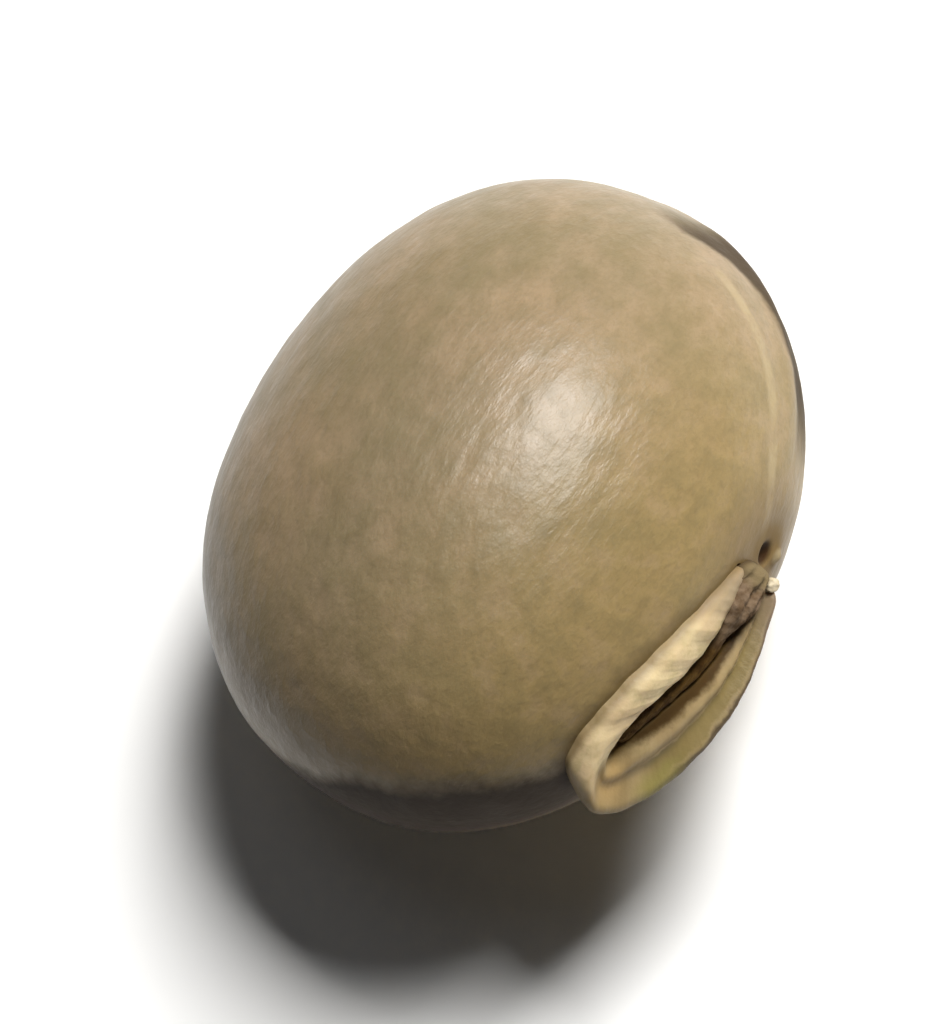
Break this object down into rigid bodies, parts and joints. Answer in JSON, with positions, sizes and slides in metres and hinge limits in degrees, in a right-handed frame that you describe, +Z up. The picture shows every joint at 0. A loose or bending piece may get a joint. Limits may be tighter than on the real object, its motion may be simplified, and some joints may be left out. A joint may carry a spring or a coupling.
{
  "type": "white velvet bean",
  "caption": "Dry beige seed, egg-shaped, with a raised cream hairpin collar round its scar and a dried stalk strand in the slot; lies on a small flat spot.",
  "frame": {"origin": "middle of the bean's box, at the level of the surface that it lies on", "axes": "+X along the seed, to the end that the collar's open end points to; -Y to the edge that carries the collar; +Z up from the surface"},
  "size_m": [0.0174, 0.016, 0.0107],
  "materials": {
    "seed_coat": "satin",
    "cream_collar": "satin",
    "dry_stalk": "matte"
  },
  "bodies": {
    "root": {"seed": "seed_coat", "aril": "cream_collar", "funicle_remnant": "dry_stalk"}
  },
  "joints": []
}
